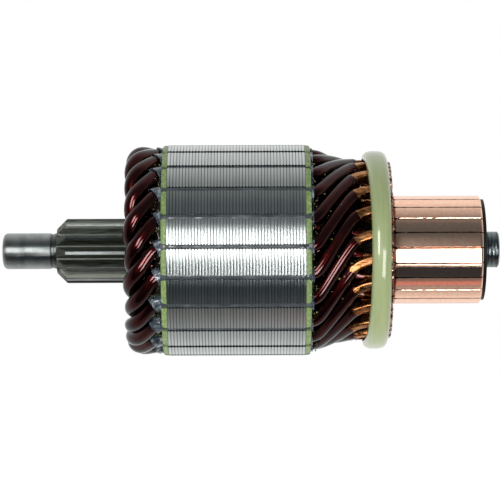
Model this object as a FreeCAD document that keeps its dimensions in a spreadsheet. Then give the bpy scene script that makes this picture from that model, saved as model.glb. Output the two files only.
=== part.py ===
import FreeCAD, Part
import math
import os
import re

import Sketcher

# Armature of a gear-reduction starting motor: a shaft with sun-gear teeth, a slotted lamination stack,
# a two-layer hairpin wave winding, its banding ring and a moulded commutator with slotted risers.
# Millimetres. The shaft axis is X, the pinion end points to -X, and the origin is the middle of the
# bearing length of the pinion-end journal. Angles turn about +X, from the side that faces -Y.

os.makedirs("parts", exist_ok=True)

doc = FreeCAD.newDocument("armature")
sheet = doc.addObject("Spreadsheet::Sheet", "dims")

# Driving dimensions, each written once
sizes = {
    # shaft, pinion end
    "journalDia": 10.0,
    "journalLength": 13.5,
    "journalChamfer": 1.3,
    "reliefDia": 9.6,
    "reliefWidth": 1.6,
    "gearTeeth": 12,
    "gearRootDia": 12.3,
    "gearTipDia": 17.9,
    "gearLength": 18.1,
    "gearLead": 2.8,
    "toothTipWidth": 1.1,
    "toothMidWidth": 1.9,
    "toothRootWidth": 2.5,
    "toothSink": 0.5,
    "gearTurn": 3.8,
    "gearNeckLength": 1.6,
    # shaft, core seat, commutator seat and tail
    "shaftDia": 16.0,
    "commutatorSeatDia": 12.0,
    "tailDia": 10.0,
    "tailLength": 4.4,
    "tailChamfer": 0.9,
    # lamination stack
    "gearToInsulator": 11.5,
    "coreDia": 58.6,
    "coreLength": 37.55,
    "slotCount": 22,
    "slotTurn": -1.95,
    "slotMouth": 1.5,
    "slotLip": 0.9,
    # end insulators
    "insulatorSetback": 0.1,
    "insulatorThickness": 1.5,
    "insulatorMouth": 2.0,
    # slot liners and the set resin in the slot mouths
    "linerWall": 0.25,
    "layerStep": 0.65,
    "linerReach": 0.6,
    "resinSink": 0.15,
    # hairpin conductor
    "wireSize": 3.6,
    "wireClearance": 0.05,
    "coilPitchCount": 3,
    "bendRoom": 1.0,
    "noseSetback": 0.1,
    "noseReach": 8.8,
    "noseDepth": 2.9,
    "noseTurn": 11.9,
    "noseLayerStep": 5.0,
    "outerLeadPitchCount": 2.5,
    "innerLeadPitchCount": 1.5,
    "flareEaseFactor": 1.8,
    "strippedWidth": 2.7,
    "strippedTaper": 1.6,
    "layerGap": 0.45,
    # banding ring
    "insulatorToBand": 14.65,
    "bandWidth": 6.5,
    "bandDrop": 3.95,
    "bandThickness": 2.25,
    "bandShoulder": 1.3,
    "bendToBand": 1.3,
    # commutator
    "bandToRiser": 3.6,
    "riserWidth": 4.0,
    "riserDrop": 0.75,
    "commutatorDia": 30.0,
    "barLength": 29.0,
    "barChamfer": 0.6,
    "barFootDia": 21.0,
    "slitWidth": 0.6,
    "slitDepth": 0.6,
    "frontRingStep": 1.0,
    "frontRingWidth": 0.9,
    "wireEndInset": 0.2,
}

# Places and fits that follow from the driving dimensions
derived = {
    "tipX": "=-(journalLength + journalChamfer) / 2",
    "gearStart": "=journalLength + reliefWidth",
    "gearEnd": "=gearStart + gearLength",
    "neckEnd": "=gearEnd + gearNeckLength",
    "pinionPlateX": "=tipX + gearEnd + gearToInsulator",
    "coreX": "=pinionPlateX + insulatorThickness",
    "coreEndX": "=coreX + coreLength",
    "commPlateEndX": "=coreEndX + insulatorThickness",
    "bandX": "=commPlateEndX + insulatorToBand",
    "riserX": "=bandX + bandToRiser",
    "mouldingLength": "=barLength + frontRingWidth",
    "shaftLength": "=riserX + mouldingLength + tailLength - tipX",
    "slotPitch": "=360 / slotCount",
    "slotWidth": "=wireSize + 2 * wireClearance + 2 * linerWall",
    "insulatorDia": "=coreDia - 2 * insulatorSetback",
    "noseDia": "=coreDia - 2 * noseSetback",
    "bandInnerDia": "=coreDia - 2 * bandDrop",
    "bandOuterDia": "=bandInnerDia + 2 * bandThickness",
    "riserDia": "=bandInnerDia - 2 * riserDrop",
    "frontRingDia": "=commutatorDia - 2 * frontRingStep",
    "slotTop": "=coreDia / 2 - slotLip",
    "windowHeight": "=wireSize + 2 * wireClearance",
    "outerWire": "=slotTop - linerWall - windowHeight / 2",
    "innerWire": "=outerWire - windowHeight - layerStep",
    "slotBottom": "=innerWire - windowHeight / 2 - linerWall",
    "linerX": "=pinionPlateX - linerReach",
    "linerLength": "=coreLength + 2 * insulatorThickness + 2 * linerReach",
    "outerEnd": "=bandInnerDia / 2 - wireClearance - wireSize / 2",
    "innerEnd": "=outerEnd - wireSize - layerGap",
    "riserSlotBottom": "=innerEnd - wireSize / 2 - wireClearance",
    "riserSlotWidth": "=strippedWidth + 2 * wireClearance",
    "faceTurn": "=180 + slotTurn",
}

# Room by which a cutting outline passes the surface that it opens
cutMargin = 1.0
# Smallest change of volume, in cubic millimetres, that counts as a cut
smallestCut = 0.01

for row, (alias, amount) in enumerate(list(sizes.items()) + list(derived.items()), start=1):
    cell = "B%d" % row
    sheet.set("A%d" % row, alias)
    sheet.set(cell, str(amount))
    sheet.setAlias(cell, alias)
doc.recompute()

aliasPattern = re.compile(r"\b(%s)\b" % "|".join(list(sizes) + list(derived)))


def bound(text):
    # the expression as another object of the document writes it
    return aliasPattern.sub(r"dims.\1", text)


def number(text):
    return float(sheet.evalExpression(text))


def newBody(label, placeX="0", turn="0"):
    # a body whose frame slides along the shaft axis and turns about it
    body = doc.addObject("PartDesign::Body", label)
    body.Label = label
    place(body, placeX, turn)
    return body


def place(item, placeX, turn):
    item.Placement = FreeCAD.Placement(
        FreeCAD.Vector(number(placeX), 0, 0), FreeCAD.Rotation(FreeCAD.Vector(1, 0, 0), number(turn))
    )
    item.setExpression("Placement.Base.x", bound(placeX))
    item.setExpression("Placement.Rotation.Angle", "(%s) * 1 deg" % bound(turn))


def originItem(body, role):
    return next(item for item in body.Origin.OriginFeatures if item.Role == role)


def newSketch(body, name, role, offset="0"):
    sketch = body.newObject("Sketcher::SketchObject", name)
    sketch.AttachmentSupport = [(originItem(body, role), "")]
    sketch.MapMode = "FlatFace"
    sketch.AttachmentOffset = FreeCAD.Placement(FreeCAD.Vector(0, 0, number(offset)), FreeCAD.Rotation())
    sketch.setExpression("AttachmentOffset.Base.z", bound(offset))
    return sketch


def drive(sketch, constraint, text):
    index = sketch.addConstraint(constraint)
    sketch.setExpression("Constraints[%d]" % index, bound(text))


def addOutline(sketch, corners):
    # a closed outline of straight edges, each corner held by two dimensions from the origin
    first = sketch.GeometryCount
    count = len(corners)
    points = [FreeCAD.Vector(number(x), number(y), 0) for x, y in corners]
    for index in range(count):
        sketch.addGeometry(Part.LineSegment(points[index], points[(index + 1) % count]), False)
    for index, (x, y) in enumerate(corners):
        following = first + (index + 1) % count
        sketch.addConstraint(Sketcher.Constraint("Coincident", first + index, 2, following, 1))
        drive(sketch, Sketcher.Constraint("DistanceX", first + index, 1, points[index].x), x)
        drive(sketch, Sketcher.Constraint("DistanceY", first + index, 1, points[index].y), y)


def addCircle(sketch, radius):
    circle = Part.Circle(FreeCAD.Vector(0, 0, 0), FreeCAD.Vector(0, 0, 1), number(radius))
    index = sketch.addGeometry(circle, False)
    sketch.addConstraint(Sketcher.Constraint("Coincident", index, 3, -1, 1))
    drive(sketch, Sketcher.Constraint("Radius", index, number(radius)), radius)


def feature(body, kind, name, sketch, **settings):
    item = body.newObject("PartDesign::" + kind, name)
    item.Profile = (sketch, [""])
    if kind in ("Revolution", "Groove"):
        item.ReferenceAxis = (sketch, ["H_Axis"])
    for key, text in settings.items():
        if isinstance(text, bool):
            setattr(item, key, text)
        else:
            setattr(item, key, number(text))
            item.setExpression(key, bound(text))
    sketch.Visibility = False
    body.Tip = item
    return item


def aroundShaft(body, name, original, count):
    pattern = body.newObject("PartDesign::PolarPattern", name)
    pattern.Originals = [original]
    pattern.Axis = (originItem(body, "X_Axis"), [""])
    pattern.Angle = 360
    pattern.Occurrences = int(number(count))
    pattern.setExpression("Occurrences", bound(count))
    body.Tip = pattern
    return pattern


def checkCut(later, earlier):
    if later.Shape.Volume > earlier.Shape.Volume - smallestCut:
        raise RuntimeError(later.Name + " removes nothing")


def makeShaft():
    # one bar: journal, relief, gear blank at root size, core seat, commutator seat and tail journal
    body = newBody("shaft", "tipX", "180 + gearTurn")
    profile = newSketch(body, "shaft_profile", "XY_Plane")
    seatEnd = "riserX + mouldingLength - tipX"
    addOutline(
        profile,
        [
            ("0", "0"),
            ("shaftLength", "0"),
            ("shaftLength", "tailDia / 2 - tailChamfer"),
            ("shaftLength - tailChamfer", "tailDia / 2"),
            (seatEnd, "tailDia / 2"),
            (seatEnd, "commutatorSeatDia / 2"),
            ("riserX - tipX", "commutatorSeatDia / 2"),
            ("riserX - tipX", "shaftDia / 2"),
            ("neckEnd", "shaftDia / 2"),
            ("neckEnd", "gearRootDia / 2"),
            ("gearStart", "gearRootDia / 2"),
            ("gearStart", "reliefDia / 2"),
            ("journalLength", "reliefDia / 2"),
            ("journalLength", "journalDia / 2"),
            ("journalChamfer", "journalDia / 2"),
            ("0", "journalDia / 2 - journalChamfer"),
        ],
    )
    feature(body, "Revolution", "shaft_bar", profile, Angle="360")

    # one tooth, lofted from root to tip with full flanks and a ramp at the pilot side, and repeated
    root = toothLevel(body, "tooth_root", "gearRootDia / 2 - toothSink", "gearStart", "toothRootWidth")
    halfway = ("(gearRootDia + gearTipDia) / 4", "gearStart + gearLead / 2")
    middle = toothLevel(body, "tooth_middle", *halfway, "toothMidWidth")
    tip = toothLevel(body, "tooth_tip", "gearTipDia / 2", "gearStart + gearLead", "toothTipWidth")
    firstTooth = feature(body, "AdditiveLoft", "first_tooth", root, Ruled=True)
    firstTooth.Sections = [middle, tip]
    aroundShaft(body, "gear_teeth", firstTooth, "gearTeeth")
    return body


def toothLevel(body, name, radius, start, width):
    # the tooth's section at one radius, in a plane square to the radius
    sketch = newSketch(body, name, "XZ_Plane", "-(%s)" % radius)
    half = "(%s) / 2" % width
    addOutline(sketch, [(start, "-" + half), ("gearEnd", "-" + half), ("gearEnd", half), (start, half)])
    return sketch


def slottedPlate(label, placeX, diameter, length, mouth):
    # a round plate on the shaft with one semi-closed slot, repeated for each hairpin leg
    body = newBody(label, placeX, "faceTurn")
    disc = newSketch(body, label + "_disc", "YZ_Plane")
    addCircle(disc, diameter + " / 2")
    addCircle(disc, "shaftDia / 2")
    blank = feature(body, "Pad", label + "_blank", disc, Length=length)
    slot = newSketch(body, label + "_slot", "YZ_Plane")
    outside = "coreDia / 2 + %s" % cutMargin
    addOutline(
        slot,
        [
            ("slotBottom", "-slotWidth / 2"),
            ("slotTop", "-slotWidth / 2"),
            ("slotTop", "-%s / 2" % mouth),
            (outside, "-%s / 2" % mouth),
            (outside, "%s / 2" % mouth),
            ("slotTop", "%s / 2" % mouth),
            ("slotTop", "slotWidth / 2"),
            ("slotBottom", "slotWidth / 2"),
        ],
    )
    firstSlot = feature(body, "Pocket", label + "_first_slot", slot, Length=length, Reversed=True)
    slots = aroundShaft(body, label + "_slots", firstSlot, "slotCount")
    doc.recompute()
    checkCut(firstSlot, blank)
    checkCut(slots, firstSlot)
    return body


def endInsulator(label, placeX):
    return slottedPlate(label, placeX, "insulatorDia", "insulatorThickness", "insulatorMouth")


def rectangle(low, high, halfWidth):
    return [(low, "-" + halfWidth), (high, "-" + halfWidth), (high, halfWidth), (low, halfWidth)]


def makeLiner():
    # folded paper channel, open towards the slot mouth
    body = newBody("slot_liner", "linerX", "faceTurn")
    section = newSketch(body, "liner_section", "YZ_Plane")
    outer = "slotWidth / 2"
    inner = "(slotWidth / 2 - linerWall)"
    addOutline(
        section,
        [
            ("slotBottom", "-" + outer),
            ("slotTop", "-" + outer),
            ("slotTop", "-" + inner),
            ("slotBottom + linerWall", "-" + inner),
            ("slotBottom + linerWall", inner),
            ("slotTop", inner),
            ("slotTop", outer),
            ("slotBottom", outer),
        ],
    )
    feature(body, "Pad", "liner_channel", section, Length="linerLength")
    return body


def makeResinStrip():
    body = newBody("resin_strip", "pinionPlateX", "faceTurn")
    section = newSketch(body, "resin_section", "YZ_Plane")
    addOutline(section, rectangle("slotTop", "coreDia / 2 - resinSink", "slotMouth / 2"))
    feature(body, "Pad", "resin_bar", section, Length="coreLength + 2 * insulatorThickness")
    return body


def roundTheShaft(label, master):
    # one node that holds a separate copy of the master for each slot
    pitch = number("slotPitch")
    copies = []
    for index in range(int(number("slotCount"))):
        copy = master.Shape.copy()
        copy.rotate(FreeCAD.Vector(0, 0, 0), FreeCAD.Vector(1, 0, 0), index * pitch)
        copies.append(copy)
    group = doc.addObject("Part::Feature", label)
    group.Label = label
    group.Shape = Part.makeCompound(copies)
    group.Placement = FreeCAD.Placement()
    return group


# Corners of the six-sided conductor section, in half widths and half heights
sectionOutline = [(1, 0), (0.5, 1), (-0.5, 1), (-1, 0), (-0.5, -1), (0.5, -1)]
outerLeadSteps = 3
innerLeadSteps = 1
skewSteps = 1
noseSteps = 4


def hairpinStations():
    # the conductor's centre line as (x, radius, angle, lean, half width), from the outer-layer end
    # round the nose to the inner-layer end; lean turns the section's back from outwards to inwards
    pitch = number("slotPitch")
    half = number("wireSize") / 2
    stripped = number("strippedWidth") / 2
    outerSlot, innerSlot = number("outerWire"), number("innerWire")
    outerEnd, innerEnd = number("outerEnd"), number("innerEnd")
    noseOuter = number("noseDia / 2 - wireSize / 2")
    noseInner = noseOuter - number("noseLayerStep")
    span = number("coilPitchCount") * pitch
    leftCorner = number("linerX - bendRoom")
    rightCorner = number("linerX + linerLength + bendRoom")
    leadEnd = number("bandX - bendToBand")
    taperEnd = leadEnd + number("strippedTaper")
    endX = number("riserX + riserWidth - wireEndInset")
    noseX = number("pinionPlateX - noseReach")
    noseDepth, noseTurn = number("noseDepth"), number("noseTurn")
    easing = number("flareEaseFactor")
    outerTurn = -number("outerLeadPitchCount") * pitch
    innerTurn = span + number("innerLeadPitchCount") * pitch

    def lead(share, fromAngle, toAngle, slotRadius, endRadius):
        radius = endRadius + (slotRadius - endRadius) * (1 - share) ** easing
        return rightCorner + (leadEnd - rightCorner) * share, radius, fromAngle + (toAngle - fromAngle) * share

    def skew(share, slotRadius, noseRadius):
        x = leftCorner + (noseX + noseDepth - leftCorner) * share
        return x, slotRadius + (noseRadius - slotRadius) * share, (span / 2 - noseTurn) * share

    stations = [(endX, outerEnd, outerTurn, 0, stripped), (taperEnd, outerEnd, outerTurn, 0, stripped)]
    for step in range(outerLeadSteps, -1, -1):
        x, radius, angle = lead(step / outerLeadSteps, 0, outerTurn, outerSlot, outerEnd)
        stations.append((x, radius, angle, 0, half))
    for step in range(skewSteps + 1):
        x, radius, angle = skew(step / skewSteps, outerSlot, noseOuter)
        stations.append((x, radius, angle, 0, half))
    for step in range(1, noseSteps):
        turn = math.pi * step / noseSteps
        radius = (noseOuter + noseInner) / 2 + (noseOuter - noseInner) / 2 * math.cos(turn)
        angle = span / 2 + noseTurn * (2 * step / noseSteps - 1)
        stations.append((noseX + noseDepth * (1 - math.sin(turn)), radius, angle, turn, half))
    for step in range(skewSteps, -1, -1):
        x, radius, angle = skew(step / skewSteps, innerSlot, noseInner)
        stations.append((x, radius, span - angle, math.pi, half))
    for step in range(innerLeadSteps + 1):
        x, radius, angle = lead(step / innerLeadSteps, span, innerTurn, innerSlot, innerEnd)
        stations.append((x, radius, angle, math.pi, half))
    stations.append((taperEnd, innerEnd, innerTurn, math.pi, stripped))
    stations.append((endX, innerEnd, innerTurn, math.pi, stripped))
    return stations


def mitred(arm, chord):
    # the arm made longer, so that the prism along the chord keeps its full section
    return arm * (1 / math.sqrt(1 - arm.dot(chord) ** 2))


def makeHairpin(label):
    # straight runs joined by mitres, with a flat-sided section that faces the shaft
    stations = hairpinStations()
    halfHeight = number("wireSize") / 2
    points, backs = [], []
    for x, radius, angle, lean, halfWidth in stations:
        radial = FreeCAD.Vector(0, math.cos(math.radians(angle)), math.sin(math.radians(angle)))
        points.append(FreeCAD.Vector(x, 0, 0) + radial * radius)
        backs.append(radial * math.cos(lean) - FreeCAD.Vector(math.sin(lean), 0, 0))
    last = len(points) - 1
    sections = []
    for index, point in enumerate(points):
        before = (point - points[max(index - 1, 0)]) if index else points[1] - point
        after = (points[min(index + 1, last)] - point) if index < last else point - points[last - 1]
        before.normalize()
        after.normalize()
        tangent = (before + after).normalize()
        back = (backs[index] - tangent * backs[index].dot(tangent)).normalize()
        side = mitred(tangent.cross(back), before) * stations[index][4]
        back = mitred(back, before) * halfHeight
        sections.append([point + side * across + back * up for across, up in sectionOutline])
    hairpin = doc.addObject("Part::Feature", label)
    hairpin.Label = label
    hairpin.Shape = facetedBar(sections)
    place(hairpin, "0", "faceTurn")
    return hairpin


def facetedBar(sections):
    # a solid with flat facets from section to section, closed at both ends
    faces = [flatFace(sections[0]), flatFace(sections[-1])]
    for near, far in zip(sections, sections[1:]):
        for index in range(len(near)):
            following = (index + 1) % len(near)
            faces.append(flatFace([near[index], near[following], far[following]]))
            faces.append(flatFace([near[index], far[following], far[index]]))
    shell = Part.makeCompound(faces)
    shell.sewShape()
    solid = Part.makeSolid(Part.makeShell(shell.Faces))
    if solid.Volume < 0:
        solid.reverse()
    return solid


def flatFace(corners):
    return Part.Face(Part.makePolygon(corners + [corners[0]]))


def makeBand():
    # a bound and painted ring with sloping shoulders
    body = newBody("banding_ring", "bandX")
    profile = newSketch(body, "band_profile", "XY_Plane")
    addOutline(
        profile,
        [
            ("0", "bandInnerDia / 2"),
            ("bandWidth", "bandInnerDia / 2"),
            ("bandWidth - bandShoulder", "bandOuterDia / 2"),
            ("bandShoulder", "bandOuterDia / 2"),
        ],
    )
    feature(body, "Revolution", "band_body", profile, Angle="360")
    return body


def makeBar(label):
    # a copper bar with parallel slits beside it: barrel segment, and a riser slotted for two conductor ends
    body = newBody(label, "riserX", "faceTurn + slotPitch / 2")
    wedge = newSketch(body, "bar_section", "YZ_Plane")
    foot = "barFootDia / 2"
    top = "riserDia / 2 + %s" % cutMargin
    halfWidth = "((%s) * tan(slotPitch / 2) - slitWidth / 2 / cos(slotPitch / 2))"
    low, high = halfWidth % foot, halfWidth % top
    addOutline(wedge, [(foot, "-" + low), (top, "-" + high), (top, high), (foot, low)])
    blank = feature(body, "Pad", "bar_blank", wedge, Length="barLength")

    # turned to the riser and barrel diameters
    turned = newSketch(body, "bar_turning", "XY_Plane")
    outside = "riserDia / 2 + 3 * %s" % cutMargin
    addOutline(
        turned,
        [
            ("-%s" % cutMargin, "riserDia / 2"),
            ("riserWidth", "riserDia / 2"),
            ("riserWidth", "commutatorDia / 2"),
            ("barLength - barChamfer", "commutatorDia / 2"),
            ("barLength + %s" % cutMargin, "commutatorDia / 2 - barChamfer - %s" % cutMargin),
            ("barLength + %s" % cutMargin, outside),
            ("-%s" % cutMargin, outside),
        ],
    )
    turning = feature(body, "Groove", "bar_turned", turned, Angle="360")

    slot = newSketch(body, "riser_slot_profile", "YZ_Plane")
    addOutline(slot, rectangle("riserSlotBottom", "riserDia / 2 + %s" % cutMargin, "riserSlotWidth / 2"))
    riserSlot = feature(body, "Pocket", "riser_slot", slot, Length="riserWidth", Reversed=True)
    doc.recompute()
    checkCut(turning, blank)
    checkCut(riserSlot, turning)
    return body


def repeated(label, master, placeX, turn, index):
    # the same piece again, as many slot pitches further round
    copy = doc.addObject("App::Link", label)
    copy.Label = label
    copy.LinkedObject = master
    place(copy, placeX, "%s + %d * slotPitch" % (turn, index))
    return copy


def makeMoulding(bars):
    # compound cast round the bars and bored for the shaft, so the bars are cut out of a turned blank
    blank = newBody("moulding_blank", "riserX")
    profile = newSketch(blank, "moulding_profile", "XY_Plane")
    addOutline(
        profile,
        [
            ("0", "commutatorSeatDia / 2"),
            ("mouldingLength", "commutatorSeatDia / 2"),
            ("mouldingLength", "frontRingDia / 2"),
            ("barLength", "frontRingDia / 2"),
            ("barLength", "commutatorDia / 2 - slitDepth"),
            ("0", "commutatorDia / 2 - slitDepth"),
        ],
    )
    feature(blank, "Revolution", "moulding_turned", profile, Angle="360")
    barSet = doc.addObject("Part::Compound", "bar_set")
    barSet.Links = bars
    moulding = doc.addObject("Part::Cut", "commutator_moulding")
    moulding.Label = "commutator_moulding"
    moulding.Base = blank
    moulding.Tool = barSet
    doc.recompute()
    checkCut(moulding, blank)
    return moulding


def shapeOf(item):
    return Part.getShape(item)


def checkDocument(nodes):
    for item in doc.Objects:
        if "Invalid" in item.State or "Error" in item.State:
            raise RuntimeError("%s failed: %s" % (item.Name, item.State))
    for node in nodes:
        shape = shapeOf(node)
        if shape.isNull() or not shape.isValid() or not shape.Solids:
            raise RuntimeError(node.Label + " has no valid solid")


nodes = [
    makeShaft(),
    slottedPlate("core_laminations", "coreX", "coreDia", "coreLength", "slotMouth"),
    endInsulator("pinion_end_insulator", "pinionPlateX"),
    endInsulator("commutator_end_insulator", "coreEndX"),
]
liner = makeLiner()
resinStrip = makeResinStrip()
doc.recompute()
nodes.append(roundTheShaft("slot_liners", liner))
nodes.append(roundTheShaft("slot_resin", resinStrip))

hairpins = [makeHairpin("hairpin_01")]
bars = [makeBar("commutator_bar_01")]
for index in range(1, int(number("slotCount"))):
    hairpins.append(repeated("hairpin_%02d" % (index + 1), hairpins[0], "0", "faceTurn", index))
    barTurn = "faceTurn + slotPitch / 2"
    bars.append(repeated("commutator_bar_%02d" % (index + 1), bars[0], "riserX", barTurn, index))
nodes.extend(hairpins)
nodes.append(makeBand())
nodes.extend(bars)
nodes.append(makeMoulding(bars))

doc.recompute()
checkDocument(nodes)
for node in nodes:
    shapeOf(node).exportStep("parts/%s.step" % node.Label)
print("wrote %d nodes" % len(nodes))
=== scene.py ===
import random
from math import asin, atan2, copysign, cos, degrees, hypot, pi, radians, sin, sqrt, tan

import bmesh
import bpy
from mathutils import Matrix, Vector, noise


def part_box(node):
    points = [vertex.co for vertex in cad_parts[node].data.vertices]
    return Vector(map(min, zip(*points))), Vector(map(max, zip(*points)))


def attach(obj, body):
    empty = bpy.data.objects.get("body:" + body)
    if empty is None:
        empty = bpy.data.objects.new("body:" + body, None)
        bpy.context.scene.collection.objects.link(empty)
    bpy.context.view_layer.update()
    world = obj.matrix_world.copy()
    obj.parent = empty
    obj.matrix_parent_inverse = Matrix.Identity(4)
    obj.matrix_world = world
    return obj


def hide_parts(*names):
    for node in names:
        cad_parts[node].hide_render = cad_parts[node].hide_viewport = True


# Armature of a starting motor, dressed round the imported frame.
# Lengths in the dictionaries are millimetres and angles are degrees. Angles run round the shaft from the
# side that faces the camera (-Y) downwards, and x is the place along the shaft in the row frame.
mm = 0.001
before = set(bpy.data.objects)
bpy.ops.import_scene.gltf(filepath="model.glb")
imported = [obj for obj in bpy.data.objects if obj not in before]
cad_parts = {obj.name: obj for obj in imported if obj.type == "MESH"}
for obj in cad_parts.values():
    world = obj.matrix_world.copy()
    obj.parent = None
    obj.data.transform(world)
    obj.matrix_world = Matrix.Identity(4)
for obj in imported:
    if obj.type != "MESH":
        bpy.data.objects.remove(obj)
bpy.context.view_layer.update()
scene = bpy.context.scene
print("frame loaded:", len(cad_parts), "nodes")


def along(node):
    # where a node starts and ends along the shaft, and how far it reaches from the axis
    low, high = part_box(node)
    reach = max(hypot(v.co.y, v.co.z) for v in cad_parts[node].data.vertices)
    return low.x / mm, high.x / mm, reach / mm


shaftStart, shaftEnd, _ = along("shaft")
coreStart, coreEnd, coreRadius = along("core_laminations")
pinionFace = along("pinion_end_insulator")[0]
commutatorFace, insulatorRadius = along("commutator_end_insulator")[1:]
bandStart, bandEnd, bandRadius = along("banding_ring")
barStart, barEnd, riserRadius = along("commutator_bar_01")

slots = {"count": 22, "firstAngle": -1.95, "mouth": 1.15, "lip": 0.9, "width": 4.2, "bottomRadius": 19.85}
pitch = 360 / slots["count"]
slotAngles = [slots["firstAngle"] + number * pitch for number in range(slots["count"])]


def around(x, radius, angle):
    turn = radians(angle)
    return Vector((x, -radius * cos(turn), -radius * sin(turn)))


def turned(point, angle):
    # the point carried round the shaft, in the same sense as the angles above
    turn = radians(angle)
    y = point.y * cos(turn) - point.z * sin(turn)
    z = point.y * sin(turn) + point.z * cos(turn)
    return Vector((point.x, y, z))


def wobble(point, size, seed):
    # smooth unevenness between -1 and 1 with lumps of that size
    return noise.noise(point / size + Vector((seed * 7.3, seed * 3.1, seed * 1.7)))


def skin(rings, closed=False):
    # faces between rings of as many points each, with a cap on both ends unless the last meets the first
    count = len(rings[0])
    points = [point for ring in rings for point in ring]
    faces = []
    for row in range(len(rings) if closed else len(rings) - 1):
        here = row * count
        there = (row + 1) % len(rings) * count
        for index in range(count):
            following = (index + 1) % count
            faces.append((here + index, here + following, there + following, there + index))
    if not closed:
        faces.append(tuple(reversed(range(count))))
        faces.append(tuple(range(len(points) - count, len(points))))
    return points, faces


def joined(parts):
    # several point and face lists as one
    points, faces = [], []
    for somePoints, someFaces in parts:
        start = len(points)
        points.extend(somePoints)
        faces.extend(tuple(start + index for index in face) for face in someFaces)
    return points, faces


def addObject(name, data):
    thing = bpy.data.objects.new(name, data)
    scene.collection.objects.link(thing)
    return thing


def makePiece(name, shape, material, nodes, sharpAngle, choose=None):
    # a mesh object in the frame's place that stands for the CAD nodes; choose picks a material by face centre
    points, faces = shape
    mesh = bpy.data.meshes.new(name)
    mesh.from_pydata([point * mm for point in points], [], faces)
    work = bmesh.new()
    work.from_mesh(mesh)
    bmesh.ops.recalc_face_normals(work, faces=work.faces)
    work.to_mesh(mesh)
    work.free()
    for item in material if isinstance(material, list) else [material]:
        mesh.materials.append(item)
    for face in mesh.polygons:
        face.use_smooth = True
        if choose:
            face.material_index = choose(face.center / mm)
    mesh.set_sharp_from_angle(angle=radians(sharpAngle))
    piece = addObject(name, mesh)
    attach(piece, "root")
    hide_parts(*nodes)


def lump(spot, size, draw, levels, steps, uneven=None):
    # a small lump about a random axis, as rings at levels of (place along it, radius), uneven if asked
    axis = Vector([draw.uniform(-1, 1) for _ in range(3)]).normalized()
    side = axis.orthogonal().normalized()
    other = axis.cross(side)
    rings = []
    for place, width in levels:
        ring, middle = [], spot + axis * size * place
        for k in range(steps):
            turn = 2 * pi * k / steps
            reach = size * width * (draw.uniform(*uneven) if uneven else 1)
            ring.append(middle + side * reach * cos(turn) + other * reach * sin(turn))
        rings.append(ring)
    return skin(rings)


# Materials

def linear(hexColour):
    # an sRGB hex colour as the linear values that the shaders take
    parts = [int(hexColour[i:i + 2], 16) / 255 for i in (1, 3, 5)]
    return [c / 12.92 if c <= 0.04045 else ((c + 0.055) / 1.055) ** 2.4 for c in parts] + [1]


def addNode(tree, kind, settings=None, links=None):
    # settings are properties, input values or the stops of a colour ramp, which are colours or greys
    node = tree.nodes.new("ShaderNode" + kind)
    for name, value in (settings or {}).items():
        if name == "stops":
            elements = node.color_ramp.elements
            while len(elements) < len(value):
                elements.new(1.0)
            for element, (share, colour) in zip(elements, value):
                element.position = share
                element.color = linear(colour) if isinstance(colour, str) else [colour] * 3 + [1]
        elif isinstance(name, str) and hasattr(node, name):
            setattr(node, name, value)
        else:
            node.inputs[name].default_value = value
    for name, source in (links or {}).items():
        tree.links.new(source, node.inputs[name])
    return node


def newMaterial(name, surface):
    # a material with its shader, and the place on the piece in millimetres for the patterns
    material = bpy.data.materials.new(name)
    material.use_nodes = True
    tree = material.node_tree
    tree.nodes.clear()
    shader = addNode(tree, "BsdfPrincipled", surface)
    addNode(tree, "OutputMaterial", links={"Surface": shader.outputs[0]})
    place = addNode(tree, "TexCoord").outputs["Object"]
    millimetres = addNode(tree, "VectorMath", {"operation": "SCALE", "Scale": 1 / mm}, {0: place})
    return material, tree, shader, millimetres.outputs[0]


def grain(tree, place, size, detail=2.0, stretch=(1, 1, 1)):
    # noise whose lumps are that many millimetres, or that times stretch along each axis; they are the sizes of
    # fibre bundles, creases and stains, while tool marks, scores and filler are drawn coarser so that they show
    scale = [1 / (size * s) for s in stretch]
    scaled = addNode(tree, "VectorMath", {"operation": "MULTIPLY", 1: scale}, {0: place}).outputs[0]
    return addNode(tree, "TexNoise", {"Scale": 1.0, "Detail": detail}, {"Vector": scaled}).outputs[0]


def applyGrain(tree, shader, pattern, colours=None, roughness=None, depth=None):
    # the shader's colour, roughness and relief follow the pattern, down to that many millimetres
    for socket, stops in (("Base Color", colours), ("Roughness", roughness)):
        if stops:
            graded = addNode(tree, "ValToRGB", {"stops": stops}, {0: pattern})
            tree.links.new(graded.outputs[0], shader.inputs[socket])
    if depth:
        relief = addNode(tree, "Bump", {"Distance": depth * mm}, {"Height": pattern})
        tree.links.new(relief.outputs[0], shader.inputs["Normal"])


def turnedLustre(tree, shader, amount):
    # tool marks run round the shaft, so they spread a reflection along it
    alongShaft = addNode(tree, "CombineXYZ", {"X": 1.0}).outputs[0]
    tree.links.new(alongShaft, shader.inputs["Tangent"])
    shader.inputs["Anisotropic"].default_value = amount


def grained(name, surface, grainSettings, colours, roughness, depth):
    # a material whose colour, roughness and relief follow one grain, given by its size, detail and stretch
    material, tree, shader, place = newMaterial(name, surface)
    applyGrain(tree, shader, grain(tree, place, *grainSettings), colours, roughness, depth)
    return material


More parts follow.
